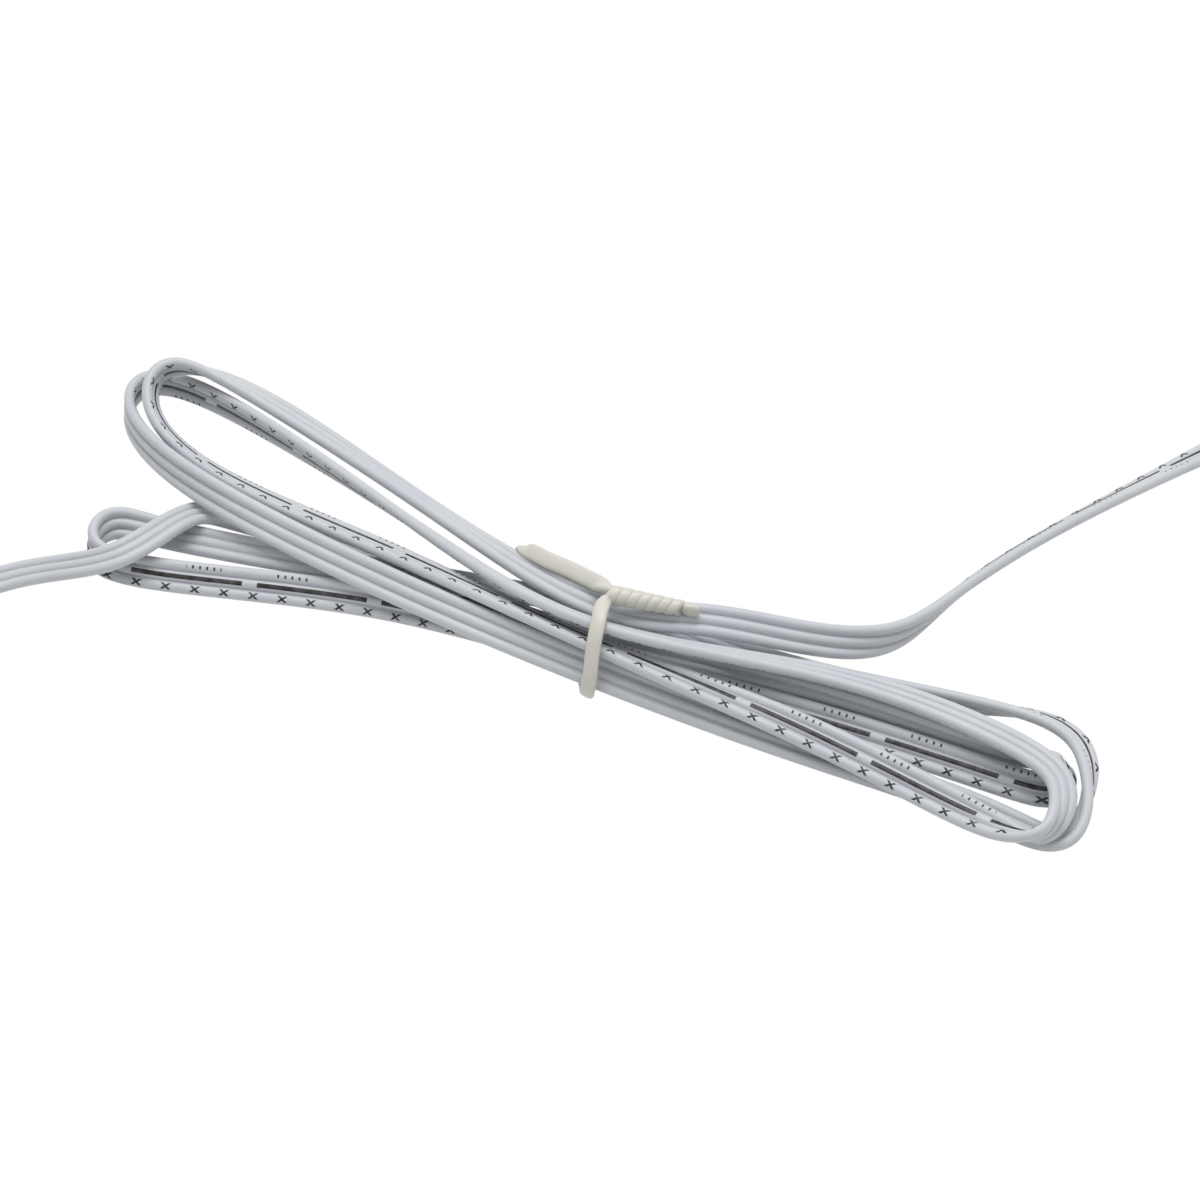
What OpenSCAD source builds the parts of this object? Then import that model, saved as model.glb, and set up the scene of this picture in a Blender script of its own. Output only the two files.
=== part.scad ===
// Three-core ribbon cable in a hank, pinched at its waist by a twist tie, with a
// three-way wire-to-wire connector on each lead: pins on one end, sockets on the other.
// Millimetres. The hank is laid out about its waist, and frame_shift moves the whole
// object so that its box is centred over the origin and stands on z = 0.

/* [Ribbon cable] */
// Diameter of one insulated core
core_d = 1.65; // [1.2:0.05:2.5]
// Distance between neighbouring cores
core_pitch = 1.675; // [1.2:0.005:2.6]
// Diameter of the stranded conductor in a core
conductor_d = 0.8; // [0.5:0.05:1.2]

/* [Hank] */
// Distance of the straight runs' middles from the waist
run_x = 34; // [30:1:38]
// Distance of the right-hand shoulders from the waist
right_shoulder_x = 64; // [60:1:68]
// Distance of the left-hand shoulders from the waist
left_shoulder_x = 72; // [68:1:76]

/* [Twist tie] */
// Width of the flat strip
tie_width = 2.2; // [1.8:0.1:3]
// Thickness of the flat strip
tie_thick = 1.2; // [1:0.05:1.4]
// Diameter of the steel wire inside
tie_wire_d = 0.5; // [0.4:0.05:0.6]
// Advance of one full turn in the twisted tail
tail_pitch = 3; // [2.8:0.1:3.6]
// Full turns in the tail
tail_turns = 3.5; // [2:0.5:4]

/* [Connectors] */
// Distance between neighbouring contacts
way_pitch = 2.5; // [2.4:0.05:2.6]
// Width of a housing
housing_w = 10.4; // [9.5:0.1:12]
// Height of a housing
housing_h = 7; // [6.8:0.1:7.4]
// Length of the rear block that holds the contacts
block_len = 10; // [9:0.5:12]
// Length of the shroud or nose that mates
mate_len = 10.8; // [10:0.1:12]
// Wall of the shroud
shroud_wall = 1; // [0.8:0.1:1.2]
// Diameter of a pin
pin_d = 1; // [0.8:0.05:1.2]
// Length of a pin inside the shroud
pin_len = 6; // [5:0.5:6.5]
// Width of the latch lever
latch_w = 4.4; // [3.6:0.1:5]

/* [Hidden] */
$fn = 48;

white = [0.84, 0.86, 0.88];
ivory = [0.84, 0.84, 0.78];
nylon = [0.92, 0.91, 0.86];
tin = [0.76, 0.76, 0.74];
copper = [0.74, 0.45, 0.30];

// The route of the whole ribbon is one cubic B-spline. Each control point is
// [x, y, z, roll]: roll turns the printed face from outward of the loops (0) to up (90),
// inward (180) and down (-90). The two leads are laid by hand.
left_route = [
    [-107, -42.5, 3.5, -90], [-103, -42.5, 3.5, -90], [-99, -42.5, 3.5, -90],
    [-94.5, -40.5, 2, -90], [-86, -23.5, 1, -90], [-69, -21.5, 7.25, -85],
    [-68.5, -4.25, 5.35, -100], [-64, 1.5, 0.5, -80], [-39, 3.5, 1, -100]
];
right_route = [
    [12, 7, 9.75, -70], [22, 11, 8, -55], [31.5, 15.85, 5.1, -50],
    [38.25, 23.5, 2.25, 0], [41, 35, 2.6, 33], [45, 46.5, 2.5, 38],
    [50.5, 58.5, 2.5, 42], [57, 71, 2.5, 50], [63, 83, 2, 65],
    [68, 92.5, 1.75, 85], [77, 95.5, 2.5, 90],
    [87, 95.5, 3.5, 90], [91, 95.5, 3.5, 90], [95, 95.5, 3.5, 90]
];
// The six loops lie to the right and to the left by turns. Along each, the ribbon
// leaves its place in the waist, runs out, turns at a shoulder, rounds the two corners of
// its tip, turns again and runs back. Lists hold one row a loop: [y, z, roll], or
// [x, y, z, roll] at the tips.
loops = 6;
waist = [
    [-1.5, 4, -95], [-4, 5.25, 55], [9, 5, -130], [-6.25, 5.75, -135],
    [-7, 12.25, -140], [-5, 9.25, -220], [1.25, 8.75, -80]
];
run_out = [
    [9, 2.75, 10], [-4, 2.5, 40], [8.5, 2, -60],
    [-5.75, 6.6, -115], [11.75, 5.25, -110], [0.6, 7.2, -250]
];
shoulder_out = [
    [9, 2.75, 10], [-18.75, 1.6, 60], [21.5, 3, 75],
    [-2.5, 8.15, -150], [8.75, 7.1, -100], [4, 3.75, -235]
];
tip_out = [
    [69, 13.5, 2.6, 25], [-79.25, -17, 2.75, 15], [73.5, 13.25, 3.25, 45],
    [-91.5, 10.1, 4, -175], [72.5, 5, 6.75, -110], [-86.75, 10, 7.5, -205]
];
tip_back = [
    [70.5, 6, 2.1, 65], [-79.25, -9, 2.75, -35], [76, -4, 1.75, -85],
    [-93, 22.25, 3, -180], [73.5, -6.5, 5.75, -190], [-88, 20.5, 9.9, -150]
];
shoulder_back = [
    [5.5, 2, 65], [-8, 0.75, -85], [0.5, 1, -95],
    [20.5, 2.25, -180], [-5, 3.75, -300], [25, 3, -100]
];
run_back = [
    [4.75, 1.25, 60], [-2.25, 4.75, -75], [-2, 1, -100],
    [7.5, 6.5, -135], [0, 4, -300], [13.75, 3.25, -140]
];

function is_right(k) = k % 2 == 0;
function run_at(k) = is_right(k) ? run_x : -run_x;
function shoulder_at(k) = is_right(k) ? right_shoulder_x : -left_shoulder_x;
function loop_points(k) = [
    concat(0, waist[k]),
    concat(run_at(k), run_out[k]),
    concat(shoulder_at(k), shoulder_out[k]),
    tip_out[k],
    tip_back[k],
    concat(shoulder_at(k), shoulder_back[k]),
    concat(run_at(k), run_back[k])
];
hank_route = [for (k = [0 : loops - 1]) each loop_points(k)];
route = concat(left_route, hank_route, [concat(0, waist[loops])], right_route);

// Spans of the curve: the hank starts and ends just beside the waist.
spans = len(route) - 3;
hank_start = len(left_route) - 1.1;
hank_end = len(left_route) + len(hank_route) - 0.9;
rings_per_span = 4;

function unit(v) = v / norm(v);
function mix(i, w) =
    w[0] * route[i] + w[1] * route[i + 1] + w[2] * route[i + 2] + w[3] * route[i + 3];
function place_weights(f) = [
    pow(1 - f, 3),
    3 * pow(f, 3) - 6 * f * f + 4,
    -3 * pow(f, 3) + 3 * f * f + 3 * f + 1,
    pow(f, 3)
] / 6;
function slope_weights(f) =
    [-3 * pow(1 - f, 2), 9 * f * f - 12 * f, -9 * f * f + 6 * f + 3, 3 * f * f] / 6;

// A station is [middle of the ribbon, direction across it, direction of its printed face].
function station(t) =
    let (i = min(floor(t), spans - 1))
    let (p = mix(i, place_weights(t - i)))
    let (d = mix(i, slope_weights(t - i)))
    let (travel = unit([d[0], d[1], d[2]]))
    let (left = unit(cross([0, 0, 1], travel)))
    let (up = cross(travel, left))
    let (face = cos(p[3]) * left + sin(p[3]) * up)
    [[p[0], p[1], p[2]], cross(face, travel), face];

// Half profiles of the ribbon: six sides in the hank, eight in the leads.
ribbon_w = 2 * core_pitch + core_d;
hank_profile = [
    [ribbon_w / 2, 0], [core_pitch, core_d / 2], [-core_pitch, core_d / 2],
    [-ribbon_w / 2, 0], [-core_pitch, -core_d / 2], [core_pitch, -core_d / 2]
];
lead_profile = [
    [ribbon_w / 2, core_d / 5], [ribbon_w / 2 - core_d / 3, core_d / 2],
    [-ribbon_w / 2 + core_d / 3, core_d / 2], [-ribbon_w / 2, core_d / 5],
    [-ribbon_w / 2, -core_d / 5], [-ribbon_w / 2 + core_d / 3, -core_d / 2],
    [ribbon_w / 2 - core_d / 3, -core_d / 2], [ribbon_w / 2, -core_d / 5]
];
function round_profile(r, sides) = [
    for (j = [0 : sides - 1])
        let (turn = 360 * j / sides)
        r * [cos(turn), sin(turn)]
];

function ring(s, profile) = [for (q = profile) s[0] + q[0] * s[1] + q[1] * s[2]];
function stops(t0, t1) =
    let (inner = [for (k = [ceil(t0 * rings_per_span) : floor(t1 * rings_per_span)]) k / rings_per_span])
    concat(inner[0] > t0 ? [t0] : [], inner, inner[len(inner) - 1] < t1 ? [t1] : []);

// Side triangles of a skin of rings, and the fans that close its two ends.
function skin(rings, sides, first = 0, inward = false) = [
    for (i = [0 : rings - 2], j = [0 : sides - 1])
        let (a = first + i * sides + j)
        let (b = first + i * sides + (j + 1) % sides)
        each inward
            ? [[a, b + sides, a + sides], [a, b, b + sides]]
            : [[a, a + sides, b + sides], [a, b + sides, b]]
];
function fans(rings, sides) =
    let (last = (rings - 1) * sides)
    [for (j = [1 : sides - 2]) each [[0, j, j + 1], [last, last + j + 1, last + j]]];
function rims(rings, sides) =
    let (bore = rings * sides)
    let (last = (rings - 1) * sides)
    [for (j = [0 : sides - 1])
        let (n = (j + 1) % sides)
        each [
            [j, n, bore + n], [j, bore + n, bore + j],
            [last + j, bore + last + n, last + n], [last + j, bore + last + j, bore + last + n]
        ]
    ];

module solid_sweep(stations, profile) {
    points = [for (s = stations) each ring(s, profile)];
    n = len(stations);
    sides = len(profile);
    polyhedron(points, concat(skin(n, sides), fans(n, sides)));
}

module ribbon(t0, t1, profile) {
    solid_sweep([for (t = stops(t0, t1)) station(t)], profile);
}

// Least gap of the hank to itself: the three cores of every pair of points that are more
// than near_length apart along the ribbon. A pair of middles over far_apart apart is passed over.
gap_steps = 14;
near_length = 3 * ribbon_w;
far_apart = 1.5 * ribbon_w;
first_probe = ceil(hank_start * gap_steps);
last_probe = floor(hank_end * gap_steps);
probes = [for (k = [first_probe : last_probe]) station(k / gap_steps)];
function core_at(s, c) = s[0] + c * core_pitch * s[1];
function core_gap(a, b) =
    let (gaps = [for (c = [-1, 0, 1], e = [-1, 0, 1]) norm(core_at(a, c) - core_at(b, e))])
    min(gaps) - core_d;
function step_after(k) = norm(probes[min(k + 1, len(probes) - 1)][0] - probes[k][0]);
function travelled(k, total = 0) =
    k == len(probes) ? [] : concat(total, travelled(k + 1, total + step_after(k)));
function least_gap() =
    let (along = travelled(0))
    min([
        for (i = [0 : len(probes) - 1], j = [i + 1 : 1 : len(probes) - 1])
            if (along[j] - along[i] > near_length && norm(probes[i][0] - probes[j][0]) < far_apart)
                core_gap(probes[i], probes[j])
    ]);

// Connectors: each is built along +x from the end of the ribbon and laid at its lead's end.
contacts = [-1, 0, 1];
fan_start = 3;
fan_len = 6;
block_start = 10;
insulation_end = block_start + 2.5;
crimp_len = 3.5;
cavity_d = core_d + 0.11;
barrel_d = core_d + 0.05;
conductor_bore_d = conductor_d + 0.04;
block_end = block_start + block_len;
mate_end = block_end + mate_len;
inlet_end = left_route[1];
inlet_exit = [inlet_end[0], inlet_end[1], inlet_end[2]];
outlet_end = right_route[len(right_route) - 2];
outlet_exit = [outlet_end[0], outlet_end[1], outlet_end[2]];
frame_shift = [
    -(inlet_exit[0] + outlet_exit[0]) / 2,
    -(inlet_exit[1] + outlet_exit[1]) / 2,
    0
];

module in_frame() {
    translate(frame_shift) children();
}
module at_inlet() {
    in_frame() translate(inlet_exit) rotate([0, 0, 180]) children();
}
module at_outlet() {
    in_frame() translate(outlet_exit) children();
}

module rounded_rectangle(w, h, r) {
    square([w - 2 * r, h], center = true);
    square([w, h - 2 * r], center = true);
    for (i = [-1, 1], j = [-1, 1]) translate([i * (w / 2 - r), j * (h / 2 - r)]) circle(r);
}
// A bar of rounded rectangular section from x0 to x1 about the x axis.
module bar(x0, x1, w, h, r) {
    translate([x0, 0, 0]) rotate([90, 0, 90]) linear_extrude(x1 - x0) rounded_rectangle(w, h, r);
}
module rod(x0, x1, d) {
    translate([x0, 0, 0]) rotate([0, 90, 0]) cylinder(h = x1 - x0, d = d);
}
module at_way(c) {
    translate([0, c * way_pitch, 0]) children();
}

// Heat-shrink sleeve over the place where the ribbon is split into its cores.
sleeve_wall = 0.6;
sleeve_fit = 0.08;
module split_sleeve() {
    inner_h = core_d + 2 * sleeve_fit;
    inner_w = ribbon_w + 2 * sleeve_fit;
    difference() {
        bar(-fan_start, fan_start, inner_w + 2 * sleeve_wall, inner_h + 2 * sleeve_wall, inner_h / 2);
        bar(-fan_start - 1, fan_start + 1, inner_w, inner_h, core_d / 4);
    }
}

// One insulated core fans from the ribbon's pitch to the connector's.
core_sides = 10;
function ease(u) = u * u * (3 - 2 * u);
function fan_y(c, x) =
    let (u = min(max((x - fan_start) / fan_len, 0), 1))
    c * (core_pitch + (way_pitch - core_pitch) * ease(u));
core_stops = [0, fan_start, for (k = [1 : 5]) fan_start + fan_len * k / 5, insulation_end];
module split_core(c) {
    solid_sweep([for (x = core_stops) [[x, fan_y(c, x), 0], [0, 1, 0], [0, 0, 1]]],
        round_profile(core_d / 2, core_sides));
}
module conductor(c) {
    at_way(c) rod(insulation_end, insulation_end + crimp_len, conductor_d);
}

// The inlet: a shrouded block with three pins, whose barrels fill their holes in the block.
window_start = 3.6;
window_len = 2.2;
window_w = 3.4;
module inlet_housing_shape() {
    difference() {
        bar(block_start, mate_end, housing_w, housing_h, 0.6);
        bar(block_end, mate_end + 1, housing_w - 2 * shroud_wall, housing_h - 2 * shroud_wall, 0.4);
        for (c = contacts) at_way(c) rod(block_start - 1, block_end + 0.5, cavity_d);
        translate([block_end + window_start, -window_w / 2, 0]) cube([window_len, window_w, housing_h]);
    }
}
pin_tip = 0.5;
module inlet_pin(c) {
    at_way(c) difference() {
        union() {
            rod(insulation_end, block_end, barrel_d);
            rod(block_end, block_end + pin_len - pin_tip, pin_d);
            translate([block_end + pin_len - pin_tip, 0, 0]) rotate([0, 90, 0])
                cylinder(h = pin_tip, d1 = pin_d, d2 = pin_d / 2);
        }
        rod(insulation_end - 1, insulation_end + crimp_len, conductor_bore_d);
    }
}

// The outlet: a nose with three sockets that fits the shroud, and a rocking latch on top.
nose_fit = 0.15;
nose_w = housing_w - 2 * shroud_wall - 2 * nose_fit;
nose_h = housing_h - 2 * shroud_wall - 2 * nose_fit;
socket_mouth = 0.7;
mouth_d = pin_d + 0.25;
socket_d = pin_d + 0.04;
socket_len = 7;
socket_end = mate_end - socket_mouth;
pivot_x = 18;
pivot_z = housing_h / 2 + 1.5;
pivot_d = 1.2;
pivot_bore_d = pivot_d + 0.1;
ear_len = 2.4;
ear_thick = 1;
ear_top = housing_h / 2 + 2.6;
ear_gap = 0.2;
ear_root = 0.5;
module ear(side) {
    middle = side * (latch_w / 2 + ear_gap + ear_thick / 2);
    translate([pivot_x - ear_len / 2, middle - ear_thick / 2, housing_h / 2 - ear_root])
        cube([ear_len, ear_thick, ear_top - housing_h / 2 + ear_root]);
}
// A rod across the connector at the latch's pivot.
module cross_rod(w, d) {
    translate([pivot_x, 0, pivot_z]) rotate([90, 0, 0]) cylinder(h = w, d = d, center = true);
}
module outlet_housing_shape() {
    difference() {
        union() {
            bar(block_start, block_end, housing_w, housing_h, 0.6);
            bar(block_end - 1, mate_end, nose_w, nose_h, 0.4);
            ear(-1);
            ear(1);
        }
        for (c = contacts) at_way(c) {
            rod(block_start - 1, socket_end, cavity_d);
            rod(socket_end - 0.5, mate_end + 1, mouth_d);
        }
        cross_rod(housing_w, pivot_bore_d);
    }
}
module outlet_contact(c) {
    at_way(c) difference() {
        rod(insulation_end, socket_end, barrel_d);
        rod(insulation_end - 1, insulation_end + crimp_len, conductor_bore_d);
        rod(socket_end - socket_len, socket_end + 1, socket_d);
    }
}

latch_thick = 1;
latch_rear = 12;
latch_front = 27;
hook_len = 1.4;
hook_drop = 1.6;
rib_h = 0.3;
rib_len = 0.4;
rib_start = 0.3;
rib_pitch = 0.9;
ribs = 4;
module latch_shape() {
    translate([latch_rear, -latch_w / 2, pivot_z - latch_thick / 2])
        cube([latch_front - latch_rear, latch_w, latch_thick]);
    translate([latch_front - hook_len, -window_w / 2 + ear_gap, pivot_z - latch_thick / 2 - hook_drop])
        cube([hook_len, window_w - 2 * ear_gap, hook_drop + latch_thick / 2]);
    cross_rod(latch_w + 2 * ear_gap + 2 * ear_thick - 0.2, pivot_d);
    for (k = [0 : ribs - 1])
        translate([latch_rear + rib_start + rib_pitch * k, -latch_w / 2, pivot_z])
            cube([rib_len, latch_w, latch_thick / 2 + rib_h]);
}

// The twist tie: one strip runs from the tail down the near side, under the waist, up the
// far side and back into the tail, where its two ends wind about each other.
tail_root = [0.8, 2.7, 12.6];
tail_way = unit([11.2, 4, -1]);
tail_side = unit(cross(tail_way, [0, 0, 1]));
tail_up = cross(tail_side, tail_way);
strand_d = 1.15;
strand_off = 0.7;
tail_len = tail_pitch * tail_turns;
tail_stops = 6 * tail_turns;
tail_tip = 2.2;
bundle_axis = [0, 1, 6];
tie_loop = [
    [0.9, 0, 12.9], [1.7, -2.6, 12.8], [2.3, -4.8, 11.6], [2.7, -6.5, 9.6],
    [3.2, -8, 7.4], [3.2, -8.6, 5.4], [2.8, -8.4, 3.3], [1.4, -6, 1.3],
    [-1.5, -1.8, 0.9], [-6, 2, 0.75], [-11, 6.2, 0.85], [-15, 9, 1.5],
    [-18, 11.2, 3.3], [-18.7, 11.4, 5.2], [-16.7, 10.2, 7], [-13, 8.8, 8.1],
    [-9.2, 8, 8.8], [-5.7, 7, 9.5], [-2.7, 5.7, 10.6], [-0.6, 4.2, 11.8]
];
function strand_place(s, turn) =
    tail_root + s * tail_way + strand_off * (cos(turn) * tail_side + sin(turn) * tail_up);
function strand_turn(s, start) = start + 360 * s / tail_pitch;
function strand(start, last) = [
    for (k = [0 : last])
        let (s = tail_len * k / tail_stops)
        let (turn = strand_turn(s, start))
        [strand_place(s, turn), cos(turn) * tail_side + sin(turn) * tail_up, strand_d, strand_d]
];
function reversed(list) = [for (k = [len(list) - 1 : -1 : 0]) list[k]];
// The longer end leaves the twist, straightens and keeps the strip's full width.
tip_taper = 0.4;
tie_end = [
    for (k = [2, 1])
        let (p = tail_root + (tail_len + tail_tip * k / 2) * tail_way)
        [p, -tail_side, tie_width - tip_taper * (k - 1), tie_thick]
];
function away(p) =
    let (q = p - bundle_axis)
    unit([0, q[1], q[2]]);
tie_rows = concat(
    tie_end,
    reversed(strand(0, tail_stops)),
    [for (p = tie_loop) [p, away(p), tie_width, tie_thick]],
    strand(180, tail_stops - 2)
);
tie_sides = 8;
tie_wire_fit = 0.02;
tie_stations = [
    for (k = [0 : len(tie_rows) - 1])
        let (before = tie_rows[max(k - 1, 0)][0])
        let (after = tie_rows[min(k + 1, len(tie_rows) - 1)][0])
        let (way = unit(after - before))
        let (out = tie_rows[k][1])
        let (face = unit(out - (out * way) * way))
        [tie_rows[k][0], cross(face, way), face]
];
function tie_ring(k, w, h) =
    ring(tie_stations[k], [for (q = round_profile(0.5, tie_sides)) [q[0] * w, q[1] * h]]);
module tie_strip() {
    outer = [for (k = [0 : len(tie_rows) - 1]) each tie_ring(k, tie_rows[k][2], tie_rows[k][3])];
    hole_d = tie_wire_d + 2 * tie_wire_fit;
    bore = [for (k = [0 : len(tie_rows) - 1]) each tie_ring(k, hole_d, hole_d)];
    n = len(tie_rows);
    faces = concat(skin(n, tie_sides), skin(n, tie_sides, n * tie_sides, true), rims(n, tie_sides));
    polyhedron(concat(outer, bore), faces);
}
module tie_wire_shape() {
    solid_sweep(tie_stations, round_profile(tie_wire_d / 2, tie_sides));
}

module hank() {
    color(white) in_frame() ribbon(hank_start, hank_end, hank_profile);
}
module left_lead() {
    color(white) in_frame() ribbon(0, hank_start, lead_profile);
}
module right_lead() {
    color(white) in_frame() ribbon(hank_end, spans, lead_profile);
}
module twist_tie() {
    color(ivory) in_frame() tie_strip();
}
module tie_wire() {
    color(tin) in_frame() tie_wire_shape();
}
module inlet_sleeve() {
    color(white) at_inlet() split_sleeve();
}
module inlet_housing() {
    color(nylon) at_inlet() inlet_housing_shape();
}
module inlet_core(c) {
    color(white) at_inlet() split_core(c);
}
module inlet_conductor(c) {
    color(copper) at_inlet() conductor(c);
}
module inlet_contact_pin(c) {
    color(tin) at_inlet() inlet_pin(c);
}
module outlet_sleeve() {
    color(white) at_outlet() split_sleeve();
}
module outlet_housing() {
    color(nylon) at_outlet() outlet_housing_shape();
}
module outlet_latch() {
    color(nylon) at_outlet() latch_shape();
}
module outlet_core(c) {
    color(white) at_outlet() split_core(c);
}
module outlet_conductor(c) {
    color(copper) at_outlet() conductor(c);
}
module outlet_socket(c) {
    color(tin) at_outlet() outlet_contact(c);
}

echo(least_gap_of_the_hank_mm = least_gap());

hank();
left_lead();
right_lead();
twist_tie();
tie_wire();
inlet_sleeve();
inlet_housing();
outlet_sleeve();
outlet_housing();
outlet_latch();
for (c = contacts) {
    inlet_core(c);
    inlet_conductor(c);
    inlet_contact_pin(c);
    outlet_core(c);
    outlet_conductor(c);
    outlet_socket(c);
}
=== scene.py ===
"""Dresses a flat three-core extension cord, folded into a hank with a twist tie round its waist.

Sizes are in millimetres while a shape is worked out, and in metres once it is in Blender.
The ribbon follows the same route as its CAD solids.
"""

from __future__ import annotations

import logging
import math
from dataclasses import dataclass, field
from enum import Enum
from typing import Sequence

import bmesh
import bpy
import numpy as np
from mathutils import Matrix, Vector
from numpy.typing import NDArray


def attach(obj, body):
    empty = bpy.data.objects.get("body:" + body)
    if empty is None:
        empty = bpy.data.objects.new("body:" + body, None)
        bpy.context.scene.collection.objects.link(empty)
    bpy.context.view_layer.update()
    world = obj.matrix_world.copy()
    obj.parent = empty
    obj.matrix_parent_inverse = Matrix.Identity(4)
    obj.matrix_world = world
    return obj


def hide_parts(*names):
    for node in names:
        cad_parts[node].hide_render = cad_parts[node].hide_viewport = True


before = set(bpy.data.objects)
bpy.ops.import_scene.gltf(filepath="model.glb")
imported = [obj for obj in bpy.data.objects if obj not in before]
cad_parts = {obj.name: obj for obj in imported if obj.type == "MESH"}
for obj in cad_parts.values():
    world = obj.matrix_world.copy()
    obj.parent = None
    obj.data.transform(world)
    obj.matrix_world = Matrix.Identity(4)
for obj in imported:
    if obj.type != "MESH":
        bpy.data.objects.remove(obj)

Array = NDArray[np.float64]
Triple = tuple[float, float, float]
Colour = tuple[float, float, float, float]
LOG = logging.getLogger("extension_cord")

MM = 0.001
CORE_D = 1.65
CORE_PITCH = 1.675
# The hank's waist is drawn at the origin of its own rows, and stands here in the frame.
HANK_PLACE: Triple = (6.0, -26.5, 0.0)
# The cord's marks are printed by a surface's v, in mm across the cord: so far aside, there are none.
UNPRINTED = 20.0


class Body(str, Enum):
    """The CAD bodies that pieces ride on."""

    CABLE = "cable"
    LATCH = "latch"


class Slot(str, Enum):
    """The record's material slots."""

    CABLE = "cable"
    TIE = "tie"
    WIRE = "wire"
    SLEEVE = "sleeve"
    HOUSING = "housing"
    CONTACT = "contact"
    COPPER = "copper"


# ---------------------------------------------------------------------------------------
# Surfaces
# ---------------------------------------------------------------------------------------


def unit(v: Array) -> Array:
    """Each vector divided by its own length."""
    return v / np.linalg.norm(v, axis=-1, keepdims=True)


def lengths(points: Array) -> Array:
    """How far along a line of points each of them lies."""
    return np.concatenate([[0], np.cumsum(np.linalg.norm(np.diff(points, axis=0), axis=1))])


def grid_quads(rings: int, sides: int) -> NDArray[np.int64]:
    """Quads between neighbouring rings of a tube.

    Args:
        rings: How many rings the tube has.
        sides: How many points a ring has; the last joins the first.

    Returns:
        One row of four vertex numbers a quad, facing outwards where rings run
        counter-clockwise seen from the far end.
    """
    i, j = np.meshgrid(np.arange(rings - 1), np.arange(sides), indexing="ij")
    k = (j + 1) % sides
    quads = np.stack([i * sides + j, i * sides + k, (i + 1) * sides + k, (i + 1) * sides + j], -1)
    return quads.reshape(-1, 4)


def build_mesh(
    name: str,
    points: Array,
    faces: Sequence[NDArray[np.int64]],
    uv: Sequence[Array] | None = None,
) -> bpy.types.Object:
    """A smooth mesh object at the origin from arrays.

    Args:
        name: The piece's name.
        points: Vertex places in millimetres, one row each.
        faces: Arrays of faces, each with its own number of corners a row.
        uv: For each array of faces, the UV of its corners, in the same order.

    Returns:
        The new object, linked to the scene.
    """
    mesh = bpy.data.meshes.new(name)
    mesh.vertices.add(len(points))
    mesh.vertices.foreach_set("co", (points * MM).astype(np.float32).ravel())
    corners = np.concatenate([f.ravel() for f in faces]).astype(np.int32)
    counts = np.concatenate([np.full(len(f), f.shape[1]) for f in faces]).astype(np.int32)
    starts = np.concatenate([[0], np.cumsum(counts)[:-1]]).astype(np.int32)
    mesh.loops.add(len(corners))
    mesh.loops.foreach_set("vertex_index", corners)
    mesh.polygons.add(len(counts))
    mesh.polygons.foreach_set("loop_start", starts)
    mesh.polygons.foreach_set("use_smooth", np.ones(len(counts), bool))
    if uv is not None:
        layer = mesh.uv_layers.new(name="Along")
        layer.data.foreach_set("uv", np.concatenate([u.ravel() for u in uv]).astype(np.float32))
    mesh.update(calc_edges=True)
    mesh.validate()
    piece = bpy.data.objects.new(name, mesh)
    bpy.context.scene.collection.objects.link(piece)
    return piece


def swept(stations: Array, profiles: Array) -> Array:
    """Rings of a profile carried along a path: middle + y times across + z times face.

    Args:
        stations: For each ring, its middle, across and face vectors (n, 3, 3).
        profiles: For each ring, its outline's (y, z) points (n, m, 2), or one for all.

    Returns:
        The rings' points (n * m, 3).
    """
    profiles = np.broadcast_to(profiles, (len(stations), *profiles.shape[-2:]))
    y, z = profiles[..., :1], profiles[..., 1:]
    rings = stations[:, None, 0] + y * stations[:, None, 1] + z * stations[:, None, 2]
    return rings.reshape(-1, 3)


def tube(
    name: str,
    stations: Array,
    profiles: Array,
    sides: Array | None = None,
    slip: float = 0.0,
) -> bpy.types.Object:
    """A closed tube along stations, with a flat cap at each end and UVs in metres.

    Args:
        name: The piece's name.
        stations: For each ring, its middle, across and face vectors (n, 3, 3).
        profiles: One outline for all rings, or one a ring.
        sides: The v of each side's two corners, in mm (m, 2); by default it runs round the
            middle ring's outline, where no mark is printed.
        slip: What is added to u, in mm.

    Returns:
        The tube's object.
    """
    n, m = len(stations), profiles.shape[-2]
    along = lengths(stations[:, 0]) + slip
    if sides is None:
        outline = profiles if profiles.ndim == 2 else profiles[n // 2]
        around = lengths(np.vstack([outline, outline[:1]])) + UNPRINTED
        sides = np.stack([around[:-1], around[1:]], -1)
    i, j = np.meshgrid(np.arange(n - 1), np.arange(m), indexing="ij")
    u = np.stack([along[i], along[i], along[i + 1], along[i + 1]], -1)
    v = sides[j][..., [0, 1, 1, 0]]
    side_uv = np.stack([u, v], -1).reshape(-1, 2) * MM
    caps = np.stack([np.arange(m)[::-1], (n - 1) * m + np.arange(m)])
    cap_uv = np.full((2 * m, 2), UNPRINTED) * MM
    return build_mesh(name, swept(stations, profiles), [grid_quads(n, m), caps], [side_uv, cap_uv])


def ellipse(w: float, h: float, sides: int, power: float = 1.0) -> Array:
    """An ellipse's outline; a power under 1 squares it off, as |cos|^power and |sin|^power do."""
    a = 2 * math.pi * np.arange(sides) / sides
    c, s = np.cos(a), np.sin(a)
    across, tall = (np.sign(q) * np.abs(q) ** power for q in (c, s))
    return np.stack([across * w / 2, tall * h / 2], -1)


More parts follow.
